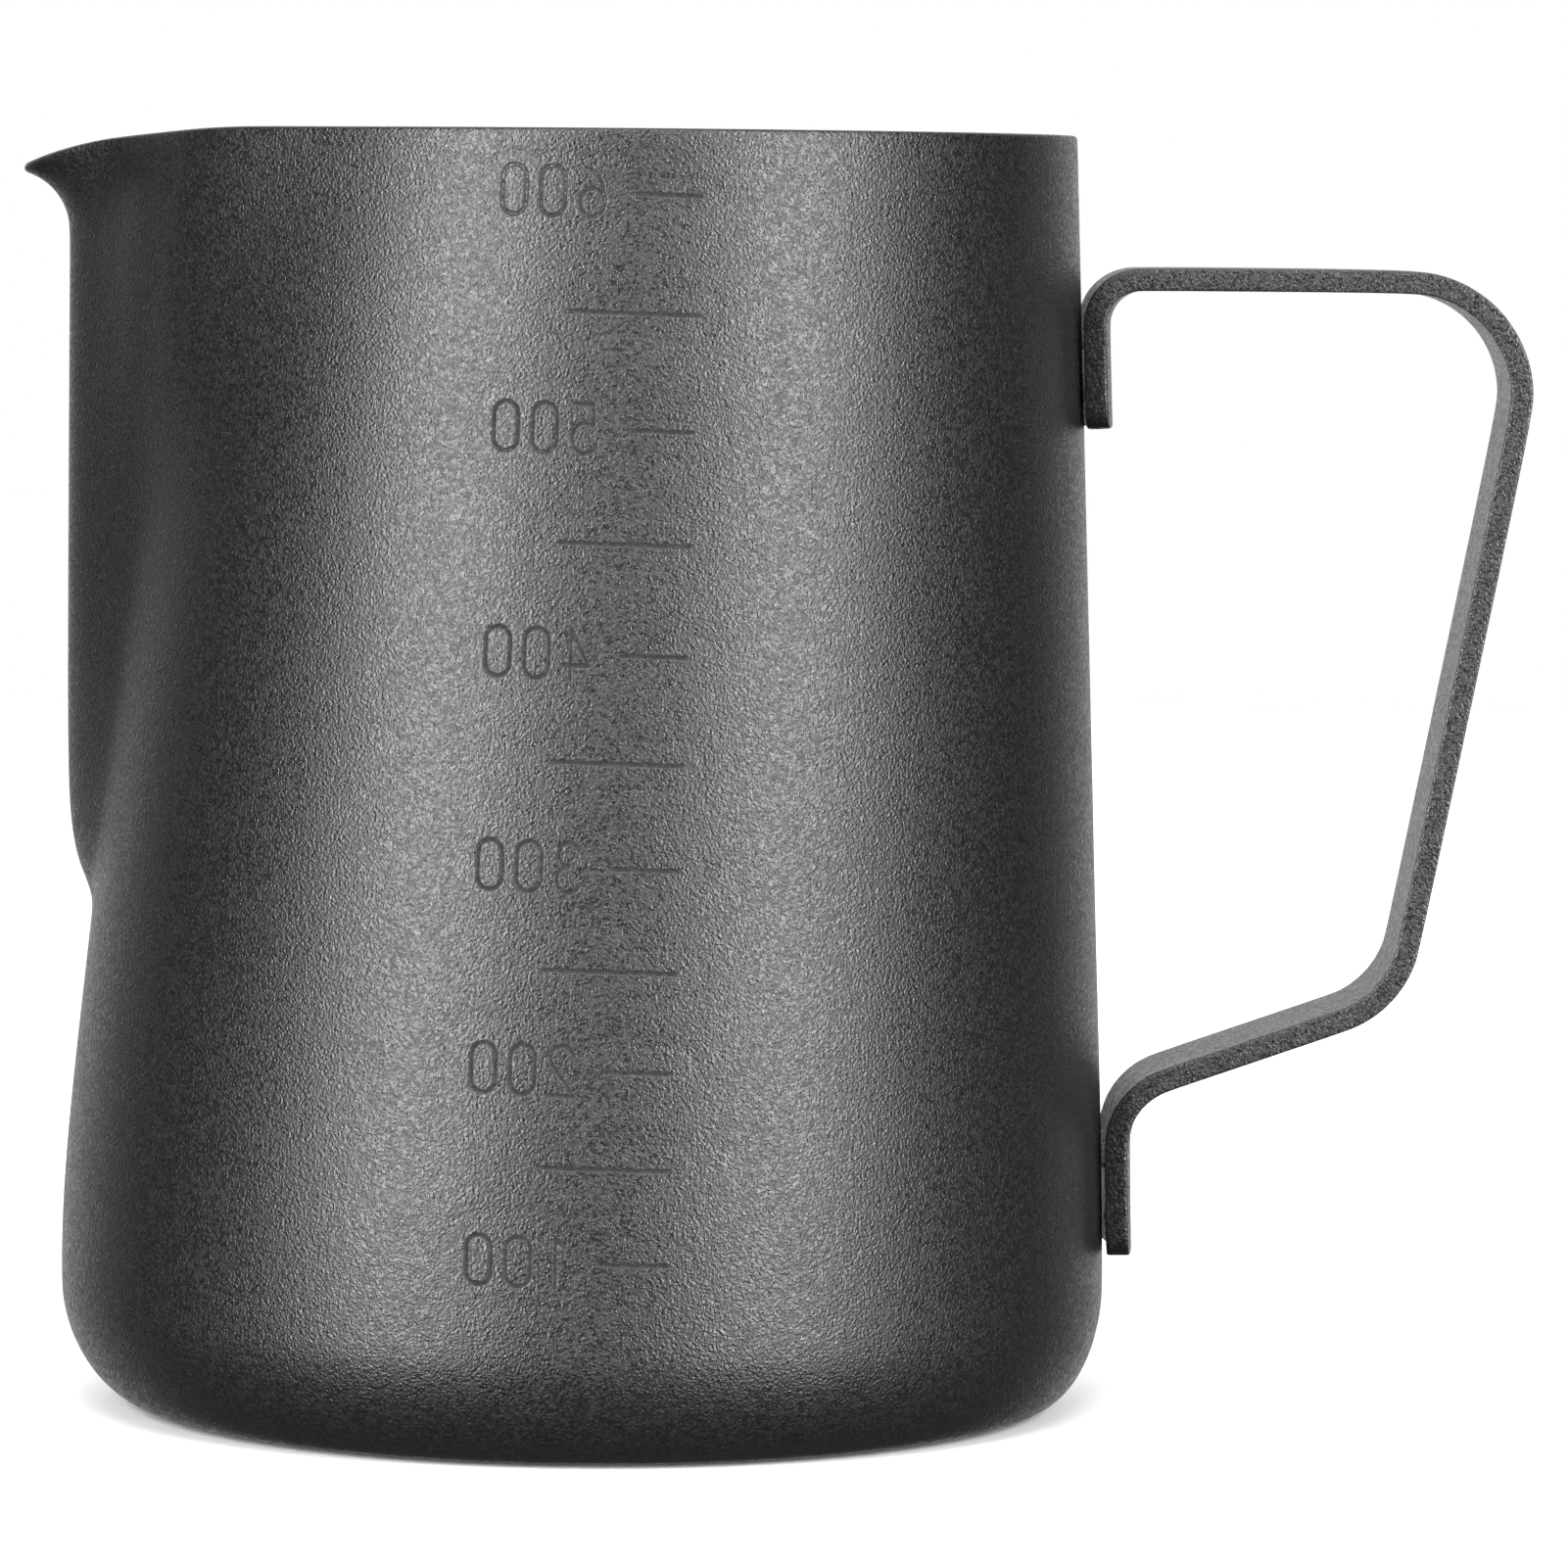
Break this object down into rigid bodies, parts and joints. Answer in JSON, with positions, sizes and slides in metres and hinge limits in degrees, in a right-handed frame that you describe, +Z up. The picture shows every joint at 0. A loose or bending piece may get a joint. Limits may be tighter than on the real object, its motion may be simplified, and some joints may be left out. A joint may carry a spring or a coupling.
{
  "type": "milk frothing pitcher",
  "caption": "Black coated steel pitcher for steaming and pouring milk: tapered cup with a pressed pouring spout and a bent flat-bar handle spot-welded to its wall.",
  "frame": {"origin": "on the table, under the middle of the pitcher's length (spout tip to handle back) and of its width", "axes": "+X towards the handle, -X towards the spout, +Z up through the rim, Y across"},
  "size_m": [0.1316, 0.0916, 0.111],
  "materials": {
    "black_coating": "satin black non-stick coating with a fine sparkling grain",
    "weld_steel": "bare stainless steel weld metal"
  },
  "bodies": {
    "root": {"pitcher_body": "black_coating", "handle_bar": "black_coating", "upper_weld_front": "weld_steel", "upper_weld_rear": "weld_steel", "lower_weld_front": "weld_steel", "lower_weld_rear": "weld_steel"}
  },
  "joints": []
}
